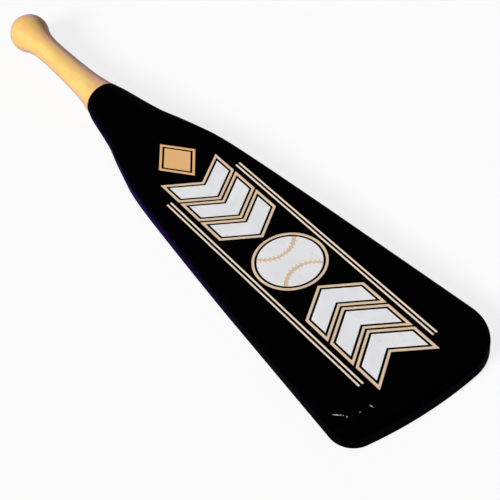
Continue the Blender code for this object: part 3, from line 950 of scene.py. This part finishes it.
def stitch_group():
    """Pairs of bars that lean together like a V, along an arc that is centred beyond the ball's rim."""
    tree, inside, outside = new_group(
        "Ball Stitches", "GeometryNodeTree",
        (("Base", "NodeSocketGeometry", None), ("Count", "NodeSocketInt", 12),
         ("Stitch Length", "NodeSocketFloat", 0.0036), ("Stitch Width", "NodeSocketFloat", 0.001),
         ("Lift", "NodeSocketFloat", STITCH_LIFT), ("Slant", "NodeSocketFloat", STITCH_SLANT),
         ("Half Sweep", "NodeSocketFloat", SEAM_HALF_SWEEP * STITCHED_SHARE),
         ("Direction", "NodeSocketFloat", 1.0),
         ("Finish", "NodeSocketMaterial", None)),
        (("Geometry", "NodeSocketGeometry"),))
    line = node(tree, "GeometryNodeMeshLine", {"Count": inside.outputs["Count"], "Offset": (0.0, 0.0, 0.0)},
                mode="OFFSET")
    index = tree.nodes.new("GeometryNodeInputIndex").outputs[0]
    share = calc(tree, "DIVIDE", index, calc(tree, "SUBTRACT", inside.outputs["Count"], 1.0))
    sweep = calc(tree, "MULTIPLY", inside.outputs["Half Sweep"], calc(tree, "MULTIPLY_ADD", share, 2.0, -1.0))
    angle = calc(tree, "ADD", sweep, math.pi)
    direction = inside.outputs["Direction"]
    x = calc(tree, "MULTIPLY_ADD", calc(tree, "COSINE", angle), SEAM_RADIUS, SEAM_CENTRE)
    y = calc(tree, "MULTIPLY", calc(tree, "SINE", angle), SEAM_RADIUS)
    place = node(tree, "ShaderNodeCombineXYZ", {
        "X": calc(tree, "MULTIPLY", x, direction), "Y": calc(tree, "MULTIPLY", y, direction)})
    points = node(tree, "GeometryNodeSetPosition", {
        "Geometry": line.outputs[0], "Position": place.outputs[0]})
    bar = node(tree, "GeometryNodeMeshCylinder", {
        "Vertices": STITCH_SIDES, "Radius": 0.5, "Depth": 1.0}, fill_type="NGON")
    size = node(tree, "ShaderNodeCombineXYZ", {
        "X": inside.outputs["Stitch Length"], "Y": inside.outputs["Stitch Width"],
        "Z": inside.outputs["Lift"]})
    shaped = node(tree, "GeometryNodeTransform", {"Geometry": bar.outputs["Mesh"], "Scale": size.outputs[0]})
    outward = node(tree, "ShaderNodeCombineXYZ", {
        "X": calc(tree, "MULTIPLY", inside.outputs["Stitch Length"], 0.5),
        "Z": calc(tree, "MULTIPLY", inside.outputs["Lift"], STITCH_MIDDLE)})
    half = node(tree, "GeometryNodeTransform", {
        "Geometry": shaped.outputs[0], "Translation": outward.outputs[0]})
    pair = tree.nodes.new("GeometryNodeJoinGeometry")
    for lean in (inside.outputs["Slant"], calc(tree, "SUBTRACT", math.pi, inside.outputs["Slant"])):
        turn = node(tree, "ShaderNodeCombineXYZ", {"Z": lean})
        leaning = node(tree, "GeometryNodeTransform", {
            "Geometry": half.outputs[0], "Rotation": turn.outputs[0]})
        tree.links.new(leaning.outputs[0], pair.inputs[0])
    turned = calc(tree, "MULTIPLY", calc(tree, "SUBTRACT", 1.0, direction), math.pi / 2)
    rotation = node(tree, "ShaderNodeCombineXYZ", {"Z": calc(tree, "ADD", angle, turned)})
    laid = node(tree, "GeometryNodeInstanceOnPoints", {
        "Points": points.outputs[0], "Instance": pair.outputs[0], "Rotation": rotation.outputs[0]})
    return end_group(tree, inside, outside, laid.outputs[0])


# Operators

class BAT_OT_stage(bpy.types.Operator):
    """Set the camera, the lights, the world and the floor"""
    bl_idname = "training_bat.stage"
    bl_label = "Stage"

    def execute(self, context):
        settings = context.scene.bat_stage
        self.add_camera(context)
        self.add_floor(context, settings)
        self.add_sun(context, "key_light", KEY_TOWARD, settings.key, KEY_WIDTH)
        self.add_sun(context, "fill_light", FILL_TOWARD, settings.fill, FILL_WIDTH)
        self.add_world(context, settings)
        context.scene.view_settings.view_transform = "Standard"
        return {"FINISHED"}

    @staticmethod
    def add_camera(context):
        camera = bpy.data.cameras.new("camera")
        camera.lens = FOCAL_LENGTH
        camera.sensor_width = SENSOR_WIDTH
        camera.shift_x, camera.shift_y = FRAME_SHIFT
        camera.clip_start = 0.01
        camera.dof.use_dof = False
        right, up = Vector(CAMERA_RIGHT).normalized(), Vector(CAMERA_UP).normalized()
        turned = Matrix((right, up, right.cross(up))).transposed()
        item = bpy.data.objects.new("camera", camera)
        item.matrix_world = Matrix.Translation(CAMERA_PLACE) @ turned.to_4x4()
        context.scene.collection.objects.link(item)
        context.scene.camera = item

    @staticmethod
    def add_floor(context, settings):
        bm = bmesh.new()
        radii = [(FLOOR_FLAT_RADIUS * i / FLOOR_FLAT_STEPS, 0.0) for i in range(FLOOR_FLAT_STEPS + 1)]
        for i in range(1, FLOOR_RIM_STEPS + 1):
            bend = math.pi / 2 * i / FLOOR_RIM_STEPS
            radii.append((FLOOR_FLAT_RADIUS + (FLOOR_RIM_RADIUS - FLOOR_FLAT_RADIUS) * math.sin(bend),
                          FLOOR_RIM_HEIGHT * (1.0 - math.cos(bend))))
        slope = (TIP_REST[1] - KNOB_REST[1]) / (TIP_REST[0] - KNOB_REST[0])
        turns = [math.tau * i / FLOOR_SEGMENTS for i in range(FLOOR_SEGMENTS)]
        rings = []
        for radius, height in radii:
            rings.append([(radius * math.cos(a), radius * math.sin(a),
                           height + slope * (radius * math.cos(a) - KNOB_REST[0])) for a in turns])
        add_rings(bm, rings)
        close_up(bm)
        middle = min(bm.faces, key=lambda face: face.calc_center_median().length)
        if middle.normal.z < 0.0:
            bmesh.ops.reverse_faces(bm, faces=bm.faces)
        floor = add_piece("floor", to_mesh(bm, "floor"), floor_finish(settings))
        floor.data.shade_smooth()

    @staticmethod
    def add_world(context, settings):
        """Even light all round, which the camera sees as white."""
        world = bpy.data.worlds.new("studio")
        context.scene.world = world
        world.use_nodes = True
        tree = world.node_tree
        background = tree.nodes["Background"]
        background.inputs["Color"].default_value = (1.0, 1.0, 1.0, 1.0)
        strength = calc(tree, "MULTIPLY_ADD", seen_directly(tree), 1.0 - settings.sky, settings.sky)
        tree.links.new(strength, background.inputs["Strength"])

    @staticmethod
    def add_sun(context, name, toward, strength, width):
        sun = bpy.data.lights.new(name, "SUN")
        sun.energy = strength
        sun.angle = math.radians(width)
        item = bpy.data.objects.new(name, sun)
        item.rotation_mode = "QUATERNION"
        item.rotation_quaternion = Vector(toward).to_track_quat("Z", "Y")
        context.scene.collection.objects.link(item)


class BAT_OT_centre_stave(bpy.types.Operator):
    """Build the turned handle and the core stave, and finish them in clear lacquer"""
    bl_idname = "training_bat.centre_stave"
    bl_label = "Centre Stave"

    def execute(self, context):
        settings = context.scene.bat_wood
        material = lacquered_wood(settings)
        stave = add_piece("centre_stave_wood", stave_mesh(settings.sides, material), material)
        half = CENTRE_STAVE_WIDTH / 2 - GAP / 2
        reach = KNOB_RADIUS * 2
        cut(stave, (-reach, -half, -reach), (LENGTH + reach, half, reach), "INTERSECT")
        slot = (TONGUE_WIDTH / 2 + GAP, TONGUE_THICKNESS / 2 + GAP)
        for side in (LEFT, RIGHT):
            line = side * CENTRE_STAVE_WIDTH / 2
            cut(stave, (TONGUE_SPAN[0] - GAP, line - slot[0], -slot[1]),
                (TONGUE_SPAN[1] + GAP, line + slot[0], slot[1]), "DIFFERENCE")
        set_in_frame(stave.data)
        shade(stave.data, STAVE_SHARP_FROM)
        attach(stave, "root")
        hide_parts("centre_stave")
        return {"FINISHED"}


class BAT_OT_side_staves(bpy.types.Operator):
    """Finish the staves and the tongues on both sides of the centre stave"""
    bl_idname = "training_bat.side_staves"
    bl_label = "Side Staves And Tongues"

    def execute(self, context):
        use_finish(["inner_wing_left", "inner_wing_right", "outer_wing_left", "outer_wing_right"],
                   bpy.data.materials["natural_lacquered_wood"])
        use_finish(["inner_tongue_left", "inner_tongue_right", "outer_tongue_left", "outer_tongue_right"],
                   bare_wood())
        return {"FINISHED"}


class BAT_OT_coat(bpy.types.Operator):
    """Build the dipped black coat, one thin shell that is open at the neck"""
    bl_idname = "training_bat.coat"
    bl_label = "Black Coat"

    def execute(self, context):
        bm = bmesh.new()
        add_rings(bm, [blade_ring(left, right, -COAT_PROUD) for left, right in blade_pairs(-COAT_PROUD)])
        close_up(bm)
        coat = add_piece("black_coat_lacquer", to_mesh(bm, "black_coat_lacquer"),
                         black_lacquer(context.scene.bat_coat))
        wall = coat.modifiers.new("wall", "SOLIDIFY")
        wall.thickness = COAT_THICKNESS
        wall.offset = -1.0
        wall.use_even_offset = True
        apply_modifiers(coat)
        self.round_lip(coat.data)
        set_in_frame(coat.data)
        shade(coat.data, SHARP_FROM)
        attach(coat, "root")
        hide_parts("black_coat")
        return {"FINISHED"}

    @staticmethod
    def round_lip(mesh):
        """Rounds the two edges of the coat's lip, as wet lacquer leaves them."""
        bm = bmesh.new()
        bm.from_mesh(mesh)
        lip = [edge for edge in bm.edges if edge.calc_face_angle(0.0) > math.radians(SHARP_FROM)
               and max(vert.co.x for vert in edge.verts) < DIP_LINE + COAT_THICKNESS]
        bmesh.ops.bevel(bm, geom=lip, offset=COAT_LIP_RADIUS, segments=COAT_LIP_STEPS, profile=0.5,
                         affect="EDGES")
        bm.to_mesh(mesh)
        bm.free()


class BAT_OT_print(bpy.types.Operator):
    """Ink the islands of the printed film"""
    bl_idname = "training_bat.print"
    bl_label = "Print"

    def execute(self, context):
        settings = context.scene.bat_print
        inks = {
            "white_ink": ink("white_ink", settings.white, wear=0.45),
            "tan_ink": ink("tan_ink", settings.tan, wear=0.40),
            "cream_ink": ink("cream_ink", settings.cream, wear=0.40),
        }
        for part in frame["record"]["subparts"]:
            if part["material_slot"] in inks:
                use_finish([part["node"]], inks[part["material_slot"]])
        use_finish(["print_diamond", "print_diamond_frame"], ink("amber_ink", settings.amber, wear=0.40))
        return {"FINISHED"}


class BAT_OT_stitches(bpy.types.Operator):
    """Lay the stitches across the two seams of the printed ball"""
    bl_idname = "training_bat.stitches"
    bl_label = "Ball Stitches"

    def execute(self, context):
        settings = context.scene.bat_print
        material = bpy.data.materials["tan_ink"]
        group = shared_group("Ball Stitches", stitch_group)
        bm = bmesh.new()
        for direction in (1.0, -1.0):
            bm.from_mesh(nodes_mesh("stitches", bpy.data.meshes.new("seam"), group, {
                "Count": settings.stitches, "Stitch Length": settings.stitch_length,
                "Stitch Width": settings.stitch_width, "Direction": direction, "Finish": material}))
        bmesh.ops.recalc_face_normals(bm, faces=bm.faces)
        mesh = to_mesh(bm, "ball_stitches")
        film_top = BLADE_THICKNESS / 2 + COAT_PROUD + GAP + FILM_THICKNESS
        mesh.transform(Matrix.Translation((BALL_STATION, 0.0, film_top)))
        set_in_frame(mesh)
        stitches = add_piece("ball_stitches", mesh, material)
        shade(mesh, SHARP_FROM)
        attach(stitches, "root")
        return {"FINISHED"}


class VIEW3D_PT_training_bat(bpy.types.Panel):
    bl_label = "Training Bat"
    bl_idname = "VIEW3D_PT_training_bat"
    bl_space_type = "VIEW_3D"
    bl_region_type = "UI"
    bl_category = "Training Bat"

    def draw(self, context):
        for operator, group in STEPS:
            box = self.layout.box()
            box.operator(operator.bl_idname)
            if group is None:
                continue
            settings = getattr(context.scene, group)
            for name in settings.bl_rna.properties.keys():
                if name not in {"rna_type", "name"}:
                    box.prop(settings, name)


STEPS = (
    (BAT_OT_stage, "bat_stage"),
    (BAT_OT_centre_stave, "bat_wood"),
    (BAT_OT_side_staves, None),
    (BAT_OT_coat, "bat_coat"),
    (BAT_OT_print, "bat_print"),
    (BAT_OT_stitches, None),
)

SETTINGS = {
    "bat_stage": BatStageSettings,
    "bat_wood": BatWoodSettings,
    "bat_coat": BatCoatSettings,
    "bat_print": BatPrintSettings,
}


def register():
    for name, group in SETTINGS.items():
        bpy.utils.register_class(group)
        setattr(bpy.types.Scene, name, PointerProperty(type=group))
    for operator, _ in STEPS:
        bpy.utils.register_class(operator)
    bpy.utils.register_class(VIEW3D_PT_training_bat)


def unregister():
    bpy.utils.unregister_class(VIEW3D_PT_training_bat)
    for operator, _ in reversed(STEPS):
        bpy.utils.unregister_class(operator)
    for name, group in reversed(SETTINGS.items()):
        delattr(bpy.types.Scene, name)
        bpy.utils.unregister_class(group)


def main():
    register()
    bpy.ops.training_bat.stage()
    bpy.ops.training_bat.centre_stave()
    bpy.ops.training_bat.side_staves()
    bpy.ops.training_bat.coat()
    bpy.ops.training_bat.print()
    bpy.ops.training_bat.stitches()


if __name__ == "__main__":
    main()
